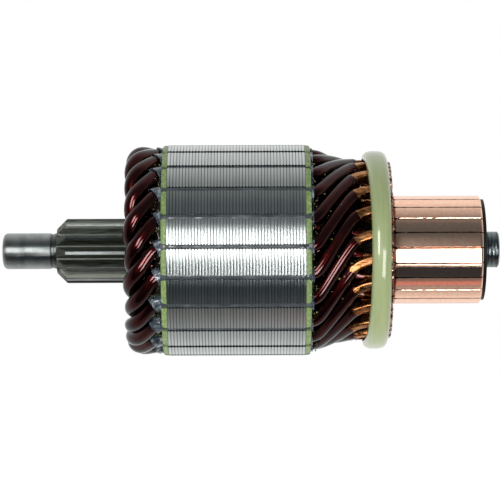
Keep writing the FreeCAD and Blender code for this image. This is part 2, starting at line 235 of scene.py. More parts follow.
def groundSteel():
    # cylindrically ground carbon steel: grey metal with faint rings, so that the light is drawn into a band
    material, tree, shader, place = newMaterial("ground_steel_satin", {"Metallic": 1.0})
    rings = grain(tree, place, 0.35, 3.0, (1, 60, 60))  # grinding marks are near 0.05 mm, drawn coarser to show
    stains = grain(tree, place, 2.6, 3.0)
    x = addNode(tree, "SeparateXYZ", links={0: place}).outputs[0]
    pilot = {"From Min": shaftStart, "From Max": shaftStart + 20}
    share = addNode(tree, "MapRange", pilot, {0: x}).outputs[0]
    # two marks where the bearing ran, worn, and painted shade that darkens the relief between the journal and
    # the teeth
    wearAndShade = [(0.24, 1.0), (0.25, 0.8), (0.265, 0.95), (0.28, 0.75), (0.3, 0.95), (0.31, 0.8), (0.32, 1.0)]
    wearAndShade += [(0.66, 1.0), (0.67, 0.4), (0.69, 0.42), (0.7, 0.6), (0.735, 0.55), (0.75, 0.42), (0.756, 1.0)]
    shade, steel = (
        addNode(tree, "ValToRGB", {"stops": stops}, {0: pattern}).outputs[0]
        for pattern, stops in ((share, wearAndShade), (stains, [(0.3, "#878b8a"), (0.7, "#9fa4a2")]))
    )
    multiply = {"data_type": "RGBA", "blend_type": "MULTIPLY", 0: 1.0}
    mixed = addNode(tree, "Mix", multiply, {6: steel, 7: shade})
    tree.links.new(mixed.outputs[2], shader.inputs["Base Color"])
    applyGrain(tree, shader, rings, roughness=[(0.3, 0.36), (0.75, 0.46)], depth=0.003)
    turnedLustre(tree, shader, 0.85)
    return material


def laminationSteel():
    # punched electrical sheet, turned to size: bright edges, with dull varnish down in the joints
    material, tree, shader, place = newMaterial("electrical_steel_turned", {"Metallic": 1.0})
    x = addNode(tree, "SeparateXYZ", links={0: place}).outputs[0]
    offset = addNode(tree, "Math", {"operation": "SUBTRACT", 1: coreStart}, {0: x}).outputs[0]
    half = (coreEnd - coreStart) / sheets["count"] / 2
    fromJoint = addNode(tree, "Math", {"operation": "PINGPONG", 1: half}, {0: offset}).outputs[0]
    land = addNode(tree, "MapRange", {"From Min": 0.04, "From Max": 0.17}, {0: fromJoint}).outputs[0]
    streaks = grain(tree, place, 0.6, 3.0, (1, 18, 18))  # about as wide as a sheet's land
    steel, polish = (
        addNode(tree, "ValToRGB", {"stops": stops}, {0: streaks}).outputs[0]
        for stops in ([(0.3, "#b3b8b7"), (0.7, "#c3c8c7")], [(0.3, 0.31), (0.75, 0.34)])
    )
    mixed = addNode(tree, "Mix", {"data_type": "RGBA", 6: linear("#666b68")}, {0: land, 7: steel})
    tree.links.new(mixed.outputs[2], shader.inputs["Base Color"])
    rough = addNode(tree, "Mix", {"data_type": "FLOAT", 2: 0.38}, {0: land, 3: polish})
    tree.links.new(rough.outputs[0], shader.inputs["Roughness"])
    turnedLustre(tree, shader, 0.8)
    return material


def turnedCopper():
    # commutator copper, skimmed with a diamond tool: a pink mirror with fine rings and a dull start
    material, tree, shader, place = newMaterial("copper_skimmed", {"Metallic": 1.0})
    rings = grain(tree, place, 0.22, 2.0, (1, 70, 70))  # the tool's feed is near 0.05 mm, drawn coarser to show
    dull = grain(tree, place, 0.9, 3.0)
    x = addNode(tree, "SeparateXYZ", links={0: place}).outputs[0]
    edge = addNode(tree, "Math", {"operation": "MULTIPLY_ADD", 1: 0.5, 2: -0.2}, {0: dull}).outputs[0]
    reach = addNode(tree, "Math", {"operation": "ADD"}, {0: x, 1: edge}).outputs[0]
    start = barStart + commutator["riserWidth"] + commutator["dullStrip"]
    strip = {"From Min": start - 0.15, "From Max": start + 0.15}
    clean = addNode(tree, "MapRange", strip, {0: reach}).outputs[0]
    brown, pink = (
        addNode(tree, "ValToRGB", {"stops": stops}, {0: dull}).outputs[0]
        for stops in ([(0.3, "#7d3c2a"), (0.7, "#b3694c")], [(0.3, "#f6c2a6"), (0.7, "#fcd3ba")])
    )
    mixed = addNode(tree, "Mix", {"data_type": "RGBA"}, {0: clean, 6: brown, 7: pink})
    tree.links.new(mixed.outputs[2], shader.inputs["Base Color"])
    rough = addNode(tree, "MapRange", {"To Min": 0.45, "To Max": 0.17}, {0: clean}).outputs[0]
    tree.links.new(rough, shader.inputs["Roughness"])
    turnedLustre(tree, shader, 0.5)
    applyGrain(tree, shader, rings, depth=0.001)
    return material


def brazedCopper():
    # risers of turned copper: mottled brown, charred at the rim by brazing and full of bright specks there
    material, tree, shader, place = newMaterial("copper_brazed_charred", {"Roughness": 0.24})
    flat = addNode(tree, "VectorMath", {"operation": "MULTIPLY", 1: (0, 1, 1)}, {0: place}).outputs[0]
    radius = addNode(tree, "VectorMath", {"operation": "LENGTH"}, {0: flat}).outputs["Value"]
    charring = {"From Min": riserRadius - 1.5, "From Max": riserRadius - 0.6}
    rim = addNode(tree, "MapRange", charring, {0: radius}).outputs[0]
    specks = grain(tree, place, 0.42, 3.0)
    tarnish = grain(tree, place, 1.8, 4.0)
    charred, bright, brown = (
        addNode(tree, "ValToRGB", {"stops": stops}, {0: pattern}).outputs[0]
        for pattern, stops in (
            (specks, [(0.4, "#1a100c"), (0.49, "#5a3626"), (0.57, "#e8c0a6")]),
            (specks, [(0.46, 0.0), (0.58, 1.0)]),
            (tarnish, [(0.3, "#5c3424"), (0.55, "#8d5a44"), (0.75, "#b27c62")]),
        )
    )
    mixed = addNode(tree, "Mix", {"data_type": "RGBA"}, {0: rim, 6: brown, 7: charred})
    tree.links.new(mixed.outputs[2], shader.inputs["Base Color"])
    metal = addNode(tree, "Mix", {"data_type": "FLOAT", 2: 1.0}, {0: rim, 3: bright})
    tree.links.new(metal.outputs[0], shader.inputs["Metallic"])
    applyGrain(tree, shader, specks, depth=0.1)
    return material


sheets = {
    "count": 44,
    "grooveDepth": 0.045,
    "mouthNotch": 0.32,
    # how far across a sheet, how much of the groove is left there and how much of the notch in the mouth
    "edge": [(0.1, 0.4, 0.75), (0.22, 0.08, 0.3), (0.38, 0.0, 0.0)],
    "toothSteps": 5,
    "boreRadius": 8.0,
}

commutator = {
    "barrelRadius": 15.0,
    "footRadius": 10.5,
    "endRounding": 0.8,
    "riserWidth": 4.0,
    "riserRounding": 0.35,
    "brazeSink": 0.2,
    "slotFoot": 17.6,
    "slitWidth": 0.32,
    "slitFlare": 0.3,
    "edgeBreak": 0.09,
    "edgeWaviness": 0.1,
    "lean": 0.012,
    "lengthSteps": 44,
    "dullStrip": 1.1,
}

finishes = {
    "ground": groundSteel(),
    # hobbed and hardened gear steel: dark olive grey, with cutter marks along the flanks
    "hobbed": grained(
        "hardened_steel_hobbed", {"Metallic": 1.0}, (0.4, 4.0, (12, 1, 1)),
        [(0.3, "#4b4e49"), (0.7, "#75786f")], [(0.3, 0.42), (0.7, 0.58)], 0.02,
    ),
    # turned steel left with its dark scale: blackish grey and unevenly shiny
    "dark": grained(
        "turned_steel_dark", {"Metallic": 1.0}, (0.9, 4.0),
        [(0.3, "#676d6e"), (0.7, "#80878a")], [(0.3, 0.26), (0.7, 0.4)], 0.02,
    ),
    "lamination": laminationSteel(),
    # pressed glass-epoxy sheet: sage green with a low sheen and a faint fibre grain
    "plate": grained(
        "glass_epoxy_pressed", {"Roughness": 0.42, "IOR": 1.5}, (0.7, 4.0),
        [(0.25, "#5f7642"), (0.55, "#7a9059"), (0.78, "#a0b17c")], None, 0.06,
    ),
    # slot paper soaked in varnish: bluish grey and half clear, crinkled where it was folded; its palest patches
    # are painted glints
    "paper": grained(
        "slot_paper_varnished_painted_glints",
        {"IOR": 1.5, "Coat Weight": 1.0, "Coat Roughness": 0.05, "Alpha": 0.66}, (1.3, 3.0),
        [(0.3, "#262e34"), (0.5, "#47525b"), (0.68, "#95a2ac")], [(0.3, 0.12), (0.7, 0.35)], 0.08,
    ),
    # trickled varnish, set in the slot mouths: grey-blue and smooth, with dull and bright patches
    "resin": grained(
        "varnish_resin_set", {"IOR": 1.52, "Coat Weight": 0.4, "Coat Roughness": 0.15}, (1.4, 4.0, (3, 1, 1)),
        [(0.3, "#2d3235"), (0.6, "#42494d"), (0.8, "#5f676b")], [(0.3, 0.25), (0.7, 0.5)], 0.08,
    ),
    # drops of clear varnish: yellowish green and wet, each with its own small glint
    "drops": grained(
        "varnish_drops_clear", {"Roughness": 0.06, "IOR": 1.52, "Transmission Weight": 0.55}, (1.1,),
        [(0.35, "#3c4228"), (0.65, "#8a8a55")], None, 0.05,
    ),
    # varnish run together between the conductors, wet; its near-black colour is partly the varnish's own dark
    # brown and partly painted shade in the gaps there
    "pooledAndShade": grained(
        "varnish_pooled_painted_shade", {"Roughness": 0.12, "IOR": 1.52}, (1.2, 3.0),
        [(0.35, "#060505"), (0.7, "#1c170e")], None, 0.2,
    ),
    # copper under polyester-imide enamel: nearly black red, that glows red round each sharp white glint
    "enamel": grained(
        "enamel_on_copper_dipped",
        {
            "Metallic": 1.0, "Specular Tint": linear("#200806"),
            "Coat Weight": 1.0, "Coat Roughness": 0.035, "Coat IOR": 1.37,
        },
        (3.0,), [(0.3, "#330504"), (0.7, "#4a0907")], [(0.3, 0.22), (0.7, 0.28)], 0.006,
    ),
    # copper wire ends scraped bare: golden brown with bright scores along them
    "bareCopper": grained(
        "copper_scraped", {"Metallic": 1.0}, (0.6, 3.0, (3, 1, 1)),
        [(0.28, "#6b4226"), (0.5, "#a56c40"), (0.75, "#d3a276")], [(0.3, 0.22), (0.7, 0.38)], 0.04,
    ),
    # glass banding bound in lacquer: pale green and glossy, with soft waves left by the turns
    "band": grained(
        "glass_band_lacquered", {"Roughness": 0.3, "IOR": 1.5, "Coat Weight": 0.7, "Coat Roughness": 0.08},
        (1.3, 2.0, (1, 9, 9)), [(0.3, "#909c6d"), (0.7, "#9ba678")], None, 0.05,
    ),
    # phenolic moulding compound, turned: black with a dull face
    "moulding": grained(
        "phenolic_moulded", {"IOR": 1.5, "Specular IOR Level": 0.25}, (0.4, 4.0),
        [(0.3, "#070606"), (0.7, "#120f0e")], [(0.3, 0.45), (0.7, 0.65)], 0.02,
    ),
    "barrel": turnedCopper(),
    "riser": brazedCopper(),
}
print("materials:", len(finishes))


# Shaft

shaft = {
    "journalLength": 13.5,
    "journalRadius": 5.0,
    "journalChamfer": 1.3,
    "reliefRadius": 4.8,
    "reliefWidth": 1.6,
    "gearLength": 19.6,
    "gearGap": 0.1,
    "neckRadius": 8.0,
    "tailRadius": 5.0,
    "tailLength": 4.4,
    "tailRing": 1.05,
    "tailRingDepth": 0.08,
    "tailRounding": 0.8,
    "aroundSteps": 128,
}

gear = {
    "teeth": 12,
    "turn": 3.8,
    "rootRadius": 6.15,
    "tipRadius": 8.95,
    "rampStart": 6.2,
    "rampSlope": 1.0,
    "tipWidth": 0.95,
    "middleWidth": 1.95,
    "rootWidth": 2.45,
    "edgeBreak": 0.1,
}
gearStart = shaftStart + shaft["journalLength"] + shaft["reliefWidth"]
gearEnd = gearStart + shaft["gearLength"]


def shaftProfile():
    # the turned outline from the pinion end to the tail, as (x, radius)
    radius, chamfer = shaft["journalRadius"], shaft["journalChamfer"]
    journalEnd = shaftStart + shaft["journalLength"]
    edge = shaftStart + 0.1
    profile = [(shaftStart, radius - chamfer - 0.25), (edge, radius - chamfer)]
    for step in range(1, 7):
        turn = radians(90 * step / 6)
        profile.append((edge + chamfer * (1 - cos(turn)), radius - chamfer * (1 - sin(turn))))
    ring = shaftStart + 5.1  # two faint marks where the bearing ran
    for mark in (ring, ring + 0.8):
        wearAndShade = radius - 0.01
        profile += [(mark, radius), (mark + 0.1, wearAndShade), (mark + 0.3, wearAndShade), (mark + 0.4, radius)]
    relief = shaft["reliefRadius"]
    profile += [(journalEnd - 0.35, radius), (journalEnd - 0.12, radius - 0.1), (journalEnd, relief)]
    profile += [(journalEnd + 0.75, relief - 0.05), (journalEnd + 0.9, relief + 0.12)]
    profile += [(gearStart - 0.1, relief + 0.15), (gearStart, relief + 0.3)]
    core, neck = gear["rootRadius"] - 0.1, shaft["neckRadius"]
    neckStart = gearEnd + shaft["gearGap"]
    profile += [(gearStart, core), (neckStart, core), (neckStart, neck)]
    tail, depth = shaft["tailRadius"], shaft["tailRingDepth"]
    tailStart = shaftEnd - shaft["tailLength"]
    profile += [(tailStart - 2, neck), (tailStart - 2, tail)]
    x = tailStart
    while x < shaftEnd - 1.2:
        profile += [(x, tail - depth), (x + 0.16, tail - 0.3 * depth), (x + 0.45, tail)]
        profile.append((x + 0.8, tail - 0.4 * depth))
        x += shaft["tailRing"]
    rounding = shaft["tailRounding"]
    for step in range(6):
        turn = radians(90 * step / 5)
        profile.append((shaftEnd - rounding * (1 - sin(turn)), tail - rounding * (1 - cos(turn))))
    return profile


def gearSection(x):
    # one turn of tooth outlines; the cone at the pilot side cuts every point that stands above it
    ceiling = min(gear["tipRadius"], gear["rampStart"] + (x - gearStart) * gear["rampSlope"])
    root, tip, broken = gear["rootRadius"], gear["tipRadius"], gear["edgeBreak"]
    middle = (root + tip) / 2
    flank = [
        (root, gear["rootWidth"] / 2 + 0.35),
        (root + 0.12, gear["rootWidth"] / 2 + 0.1),
        (root + 0.4, gear["rootWidth"] / 2 - 0.05),
        (middle, gear["middleWidth"] / 2),
        ((middle + tip) / 2, (gear["middleWidth"] + gear["tipWidth"]) / 4 + 0.08),
        (tip - broken, gear["tipWidth"] / 2),
        (tip, gear["tipWidth"] / 2 - broken),
    ]
    outline = [(radius, -width) for radius, width in flank] + flank[::-1]
    ring = []
    for tooth in range(gear["teeth"]):
        centre = gear["turn"] + 360 * tooth / gear["teeth"]
        for radius, width in outline:
            ring.append(around(x, min(radius, ceiling), centre + degrees(width / radius)))
    return ring


def makeShaft():
    steps = shaft["aroundSteps"]
    bar = skin([[around(x, radius, 360 * k / steps) for k in range(steps)] for x, radius in shaftProfile()])
    cone = (gear["tipRadius"] - gear["rampStart"]) / gear["rampSlope"]
    places = [gearStart + cone * step / 8 for step in range(9)]
    places += [gearStart + cone + 0.1, gearEnd - 0.2, gearEnd]
    teeth = skin([gearSection(x) for x in places])
    tailStart = shaftEnd - shaft["tailLength"]

    def pick(centre):
        # the tail is dark, the teeth are hobbed, and their lands and the rest are ground
        if centre.x > tailStart - 1:
            return 2
        onLand = hypot(centre.y, centre.z) > gear["tipRadius"] - 0.06
        return 1 if centre.x > gearStart and not onLand else 0

    steels = [finishes["ground"], finishes["hobbed"], finishes["dark"]]
    makePiece("shaft_turned", joined([bar, teeth]), steels, ["shaft"], 30, pick)


makeShaft()
print("shaft made")


# Core: sheets with real edges, their slots and the plates at both ends

def slottedRing(x, radius, mouth, depth=0.0):
    # the outline of a slotted plate at x, cut back by depth on the outside
    halfMouth, halfSlot = mouth / 2, slots["width"] / 2
    floor, neck, outer = slots["bottomRadius"], coreRadius - slots["lip"], radius - depth
    gap = degrees(asin(halfMouth / outer))
    ring = []

    def corner(r, across, centre):
        ring.append(around(x, hypot(r, across), centre + degrees(atan2(across, r))))

    for centre in slotAngles:
        following = centre + pitch
        for r, across in ((floor, -halfSlot), (floor, halfSlot), (neck, halfSlot), (neck, halfMouth)):
            corner(r, across, centre)
        for step in range(sheets["toothSteps"] + 1):
            share = step / sheets["toothSteps"]
            ring.append(around(x, outer, centre + gap + (pitch - 2 * gap) * share))
        corner(neck, -halfMouth, following)
        corner(neck, -halfSlot, following)
    return ring


def slottedStack(stations):
    # slotted rings skinned along the shaft, with flat ends round a bore
    outside = [slottedRing(*station) for station in stations]
    points, faces = skin(outside)
    faces = faces[:-2]
    count, boreSteps = len(outside[0]), slots["count"] * 4
    perSlot = count // slots["count"]
    bore = len(points)
    for x in (stations[0][0], stations[-1][0]):
        for k in range(boreSteps):
            points.append(around(x, sheets["boreRadius"], slots["firstAngle"] + 360 * k / boreSteps))
    for outline, hole in ((0, bore), (bore - count, bore + boreSteps)):
        for index in range(slots["count"]):
            outer = [outline + (index * perSlot + k) % count for k in range(perSlot + 1)]
            inner = [hole + (index * 4 + k) % boreSteps for k in range(4, -1, -1)]
            faces.append(tuple(outer + inner))
    for k in range(boreSteps):
        following = (k + 1) % boreSteps
        faces.append((bore + k, bore + following, bore + boreSteps + following, bore + boreSteps + k))
    return points, faces


def makeCore():
    # each sheet has a flat land, and corners that round off into the joint
    thickness = (coreEnd - coreStart) / sheets["count"]
    mouth, depth, notch = slots["mouth"], sheets["grooveDepth"], sheets["mouthNotch"]
    mirrored = [(1 - across, cut, opened) for across, cut, opened in reversed(sheets["edge"])]
    stations = [(coreStart, coreRadius, mouth + 2 * notch, depth)]
    for index in range(sheets["count"]):
        x = coreStart + index * thickness
        for across, cut, opened in sheets["edge"] + mirrored + [(1.0, 1.0, 1.0)]:
            stations.append((x + thickness * across, coreRadius, mouth + 2 * notch * opened, depth * cut))
    shape = slottedStack(stations)
    makePiece("core_sheets", shape, finishes["lamination"], ["core_laminations"], 50)


plates = {"mouth": 1.5, "notch": 0.35, "edgeBreak": 0.35, "waviness": 0.12}


def makePlate(name, node, innerX, outerX):
    # an end plate whose outer corners are broken and whose mouths open into notches
    out = 1 if outerX > innerX else -1
    full, broken = insulatorRadius, plates["edgeBreak"]
    mouth, notch = plates["mouth"], plates["notch"]
    points, faces = slottedStack([
        (innerX, full - 0.04, mouth),
        (innerX + out * 0.12, full, mouth),
        (outerX - out * 0.75, full, mouth),
        (outerX - out * 0.35, full - 0.3 * broken, mouth + notch),
        (outerX - out * 0.1, full - 0.75 * broken, mouth + 1.5 * notch),
        (outerX, full - 1.3 * broken, mouth + 2 * notch),
    ])
    for point in points:
        lift = wobble(point, 2.2, 5) * plates["waviness"]
        radius = hypot(point.y, point.z)
        if radius > insulatorRadius - 0.8:
            point.yz = point.yz * (1 - abs(lift) / radius)
    makePiece(name, (points, faces), finishes["plate"], [node], 30)


makeCore()
makePlate("pinion_end_plate", "pinion_end_insulator", coreStart, pinionFace)
makePlate("commutator_end_plate", "commutator_end_insulator", coreEnd, commutatorFace)
print("core and end plates made")


# Winding: hairpins, their bare ends and the paper cuffs

winding = {
    "span": 3,
    "outerRadius": 26.3,
    "innerRadius": 21.95,
    "noseOuterRadius": 27.0,
    "noseInnerRadius": 22.4,
    "leftCorner": 1.6,
    "rightCorner": 1.2,
    "noseReach": 8.55,
    "noseDepth": 2.9,
    "noseTurn": 11.9,
    "outerLead": 2.5,
    "innerLead": 1.5,
    "flareEasing": 1.8,
    "leadGap": 3.0,
    "leadShare": 0.9,
    "endOuterRadius": 23.5,
    "endInnerRadius": 19.5,
    "endInset": 1.6,
    "settled": 1.5,
    "barePlace": 2.6,
    "innerBarePlace": 0.3,
    "slotWire": 3.6,
    "noseWire": 4.15,
    "leadWire": 3.8,
    "swelling": 2.5,
    "bareWidth": 2.65,
    "bareHeight": 3.1,
    "squareness": 2.15,
    "bareSquaring": 2.4,
    "sides": 18,
    "step": 0.75,
    "passes": 9,
    "uneven": 0.2,
    "ragged": 0.4,
    "burrs": 3,
}
# a torn flake, as places along it and radii
burrLevels = [(-1, 0.1375), (-0.4, 0.495), (0.3, 0.55), (1, 0.165)]


def hairpinStations(nudge):
    # (x, radius, angle, lean) from the outer end round the nose to the inner end, as in the frame
    w = winding
    span = w["span"] * pitch
    left, right = pinionFace - w["leftCorner"], commutatorFace + w["rightCorner"]
    leadEnd = bandStart - w["leadGap"]
    endX = barStart + commutator["riserWidth"] - w["endInset"]
    noseX = pinionFace - w["noseReach"] + nudge
    outerTurn, innerTurn = -w["outerLead"] * pitch, span + w["innerLead"] * pitch

    def lead(share, fromAngle, toAngle, slotRadius, endRadius):
        # most of the way round; the last stretch turns on under the band
        radius = endRadius + (slotRadius - endRadius) * (1 - share) ** w["flareEasing"]
        angle = fromAngle + (toAngle - fromAngle) * share * w["leadShare"]
        return right + (leadEnd - right) * share, radius, angle

    def skew(share, slotRadius, noseRadius):
        x = left + (noseX + w["noseDepth"] - left) * share
        return x, slotRadius + (noseRadius - slotRadius) * share, (span / 2 - w["noseTurn"]) * share

    outer, inner = w["noseOuterRadius"], w["noseInnerRadius"]
    settled = bandStart + w["settled"]
    stations = [(endX, w["endOuterRadius"], outerTurn, 0), (settled, w["endOuterRadius"], outerTurn, 0)]
    for step in range(8, -1, -1):
        stations.append((*lead(step / 8, 0, outerTurn, w["outerRadius"], w["endOuterRadius"]), 0))
    for step in range(4):
        stations.append((*skew(step / 3, w["outerRadius"], outer), 0))
    for step in range(1, 12):
        turn = pi * step / 12
        radius = (outer + inner) / 2 + (outer - inner) / 2 * cos(turn)
        angle = span / 2 + w["noseTurn"] * (2 * step / 12 - 1)
        stations.append((noseX + w["noseDepth"] * (1 - sin(turn)), radius, angle, turn))
    for step in range(3, -1, -1):
        x, radius, angle = skew(step / 3, w["innerRadius"], inner)
        stations.append((x, radius, span - angle, pi))
    for step in range(9):
        stations.append((*lead(step / 8, span, innerTurn, w["innerRadius"], w["endInnerRadius"]), pi))
    stations += [(x, w["endInnerRadius"], innerTurn, pi) for x in (settled, endX)]
    return stations


def evenLine(stations):
    # the stations as a smooth line of (place, back), evenly stepped and with every corner eased
    corners = []
    for x, radius, angle, lean in stations:
        outwards = around(0, 1, angle)
        corners.append((around(x, radius, angle), outwards * cos(lean) - Vector((sin(lean), 0, 0))))
    line = [corners[0]]
    for (place, back), (nextPlace, nextBack) in zip(corners, corners[1:]):
        count = max(1, round((nextPlace - place).length / winding["step"]))
        for step in range(1, count + 1):
            line.append((place.lerp(nextPlace, step / count), back.lerp(nextBack, step / count)))
    for _ in range(winding["passes"]):
        trios = zip(line, line[1:], line[2:])
        line[1:-1] = [tuple((a + b * 2 + c) / 4 for a, b, c in zip(*trio)) for trio in trios]
    return line


def wireSection(place, tangent, back, halfWidth, halfHeight, squareness):
    # the wire's outline across its length, round at squareness 2 and squarer above it
    back = (back - tangent * back.dot(tangent)).normalized()
    side = tangent.cross(back)
    ring = []
    for k in range(winding["sides"]):
        turn = 2 * pi * k / winding["sides"]
        across, up = cos(turn), sin(turn)
        across = copysign(abs(across) ** (2 / squareness), across) * halfWidth
        up = copysign(abs(up) ** (2 / squareness), up) * halfHeight
        ring.append(place + side * across + back * up)
    return ring


def eased(value, low, high):
    share = min(1, max(0, (value - low) / (high - low)))
    return share * share * (3 - 2 * share)


def tangentAt(line, index):
    before, after = line[max(index - 1, 0)][0], line[min(index + 1, len(line) - 1)][0]
    return (after - before).normalized()


def hairpinRings(line, bareX, innerBareX):
    # the conductor's sections; inside the core only the two ends of each straight leg are kept
    w = winding
    hidden = [coreStart + 0.5 < place.x < coreEnd - 0.5 for place, _ in line]
    rings = []
    for index, (place, back) in enumerate(line):
        if all(hidden[max(index - 1, 0):index + 2]):
            continue
        wire = w["slotWire"]
        wire += (w["noseWire"] - w["slotWire"]) * eased(pinionFace - place.x, 0.0, w["swelling"])
        wire += (w["leadWire"] - w["slotWire"]) * eased(place.x - commutatorFace, 0.0, w["swelling"])
        start = bareX if index < len(line) / 2 else innerBareX
        bare = eased(place.x, start - 0.4, start + 0.5)
        halfWidth = (wire + (w["bareWidth"] - wire) * bare) / 2
        halfHeight = (wire + (w["bareHeight"] - wire) * bare) / 2
        squareness = w["squareness"] + w["bareSquaring"] * bare
        section = wireSection(place, tangentAt(line, index), back, halfWidth, halfHeight, squareness)
        rings.append((place, section))
    return rings


def ragged(ring, direction, amount, seed):
    # the ring's points pushed along the wire by uneven amounts
    return [point + direction * amount * wobble(point, 0.7, seed) for point in ring]


def makeHairpin(number):
    # one hairpin: the enamelled conductor, and its two bare ends with burrs
    draw = random.Random(number)
    turn = slotAngles[number - 1]
    line = evenLine(hairpinStations(draw.uniform(-1, 1) * winding["uneven"]))
    bareX = bandStart - winding["barePlace"] + draw.uniform(-0.9, 0.7)
    innerBareX = bandStart - winding["innerBarePlace"]
    rings = hairpinRings(line, bareX, innerBareX)
    first = next(i for i, (place, _) in enumerate(rings) if place.x < bareX)
    last = next(i for i in range(len(rings) - 1, 0, -1) if rings[i][0].x < innerBareX)
    enamelRings = [ring for _, ring in rings[first:last + 1]]
    for end, here, inwards in ((0, first, first + 1), (-1, last, last - 1)):
        direction = (rings[here][0] - rings[inwards][0]).normalized()
        enamelRings[end] = ragged(enamelRings[end], direction, winding["ragged"], number + end)

    ends = []
    for chosen in (rings[:first + 2], rings[last - 1:]):
        shrunk = []
        for place, ring in chosen:
            shrunk.append([place + (p - place) * (0.985 + 0.012 * wobble(p, 1.4, number)) for p in ring])
        ends.append(skin(shrunk))
    for _ in range(winding["burrs"]):
        ring = rings[draw.randrange(max(1, first - 3), first + 1)][1]
        ends.append(lump(draw.choice(ring), draw.uniform(0.12, 0.3), draw, burrLevels, 6, (0.7, 1.2)))

    node = "hairpin_%02d" % number
    for suffix, shape, finish, slotName, sharpAngle in (
        ("_enamel", skin(enamelRings), "enamel", "enamelled_copper", 60),
        ("_bare_ends", joined(ends), "bareCopper", "bare_copper", 50),
    ):
        placed = [turned(point, turn) for point in shape[0]], shape[1]
        makePiece(node + suffix, placed, finishes[finish], [node], sharpAngle)


for number in range(1, slots["count"] + 1):
    makeHairpin(number)
print("hairpins made")


paper = {
    "wall": 0.2,
    "gap": 0.12,
    "cuffReach": 1.9,
    "flare": 0.15,
    "ragged": 0.3,
    "crease": 0.12,
    "sleeveReach": 0.6,
    "sleeveBend": 0.3,
}


def makeCuffs():
    # paper drawn out of each slot round the outer conductor, with a torn and flared end
    parts = []
    line = evenLine(hairpinStations(0.0))
    first = next(i for i, (place, _) in enumerate(line) if place.x < pinionFace + 0.6)
    for number, turn in enumerate(slotAngles):
        reach = paper["cuffReach"] + random.Random(number + 50).uniform(-0.5, 0.5)
        outside, inside = [], []
        for i in range(first, len(line)):
            place, back = line[i]
            out = pinionFace - place.x
            if out > reach:
                break
            half = winding["noseWire"] / 2 + paper["gap"] + paper["flare"] * eased(out, 0.2 * reach, reach)
            tangent = tangentAt(line, i)
            outside.append(wireSection(place, tangent, back, half + paper["wall"], half + paper["wall"], 2.4))
            inside.append(wireSection(place, tangent, back, half, half, 2.4))
        tangent = tangentAt(line, first + len(outside) - 1)
        for rings in (outside, inside):
            rings[-1] = ragged(rings[-1], tangent, paper["ragged"], number)
        points, faces = skin(outside + inside[::-1], closed=True)
        creased = []
        for point in points:
            outwards = Vector((0, point.y, point.z)) / hypot(point.y, point.z)
            point = point + outwards * paper["crease"] * wobble(point, 0.9, number)
            creased.append(turned(point, turn))
        parts.append((creased, faces))
    return parts


def makeSleeves():
    # the folded lining of each slot, seen at both ends of the core
    parts = []
    low, high = pinionFace - paper["sleeveReach"], commutatorFace + paper["sleeveReach"]
    inner, outer = slots["bottomRadius"], coreRadius - slots["lip"]
    half = slots["width"] / 2
    for number, turn in enumerate(slotAngles):
        rings = []
        for x, wall in ((low, 0.0), (high, 0.0), (high, paper["wall"]), (low, paper["wall"])):
            ring = []
            side = half - wall
            corners = [(inner + wall, -side), (inner + wall, side), (outer - wall, side), (outer - wall, -side)]
            for (r, w), (nextR, nextW) in zip(corners, corners[1:] + corners[:1]):
                for share in (0.12, 0.88):
                    radial, across = r + (nextR - r) * share, w + (nextW - w) * share
                    bent = paper["sleeveBend"] * noise.noise(Vector((x, radial, number * 3.3)))
                    ring.append(Vector((x + bent, -radial, -across)))
            rings.append([turned(point, turn) for point in ring])
        parts.append(skin(rings, closed=True))
    return parts


makePiece("slot_sleeves", joined(makeSleeves()), finishes["paper"], ["slot_liners"], 40)
makePiece("slot_cuffs", joined(makeCuffs()), finishes["paper"], ["slot_liners"], 60)
print("slot paper made")


resin = {
    "sink": 0.42,
    "crown": 0.06,
    "unevenness": 0.12,
    "overlap": 0.14,
    "stripSteps": 60,
    "collarReach": 1.2,
    "collarRadius": 25.2,
    "collarHalf": 1.7,
    "lumps": [(0.75, 1.6, 0), (0.35, 0.6, 1)],
    "drops": 12,
    "dropRadius": (26.6, 28.2),
    "dropSize": (0.1, 0.24),
    "pinionShare": 0.75,
    "leadDrops": 5,
    "leadDropSize": (0.15, 0.34),
}
# rounded, and half as long again as wide
dropLevels = [(1.5 * cos(pi * level / 8), sin(pi * level / 8)) for level in range(1, 8)]


def makeStrips():
    # resin in each slot mouth, uneven along its length and pressed into the sheet edges
    parts = []
    low, high = pinionFace - 0.1, commutatorFace + 0.05
    top, crown, steps = coreRadius - resin["sink"], resin["crown"], resin["stripSteps"]
    foot = coreRadius - slots["lip"] - 0.1
    for number, turn in enumerate(slotAngles):
        rings = []
        for step in range(steps + 1):
            x = low + (high - low) * step / steps
            lift = resin["unevenness"] * noise.noise(Vector((x / 2.5, number * 5.1, 0)))
            inPlate = x < coreStart or x > coreEnd
            half = (plates["mouth"] + 0.4 if inPlate else slots["mouth"]) / 2 + resin["overlap"]
            sunk = 0.4 if inPlate else 0.0
            ring = [
                Vector((x, -(top - sunk + lift + rise), -across))
                for across, rise in ((-half, -0.1), (-half * 0.5, crown), (half * 0.5, crown), (half, -0.1))
            ]
            ring += [Vector((x, -foot, -across)) for across in (half, -half)]
            rings.append([turned(point, turn) for point in ring])
        parts.append(skin(rings))
    return parts


def makeCollar(middle, halfLength, seed):
    # varnish that ran together between the conductors where they leave the core, finished near black as painted
    # shade
    rings = []
    steps = slots["count"] * 14
    for step in range(steps):
        angle = 360 * step / steps
        ring = []
        for k in range(12):
            turn = radians(30 * k)
            x = middle + halfLength * cos(turn)
            radius = resin["collarRadius"] + resin["collarHalf"] * sin(turn)
            point = around(x, radius, angle)
            lift = sum(height * wobble(point, size, seed + more) for height, size, more in resin["lumps"])
            ring.append(around(x + lift * 0.5 * cos(turn), radius + lift * sin(turn), angle))
        rings.append(ring)
    return skin(rings, closed=True)


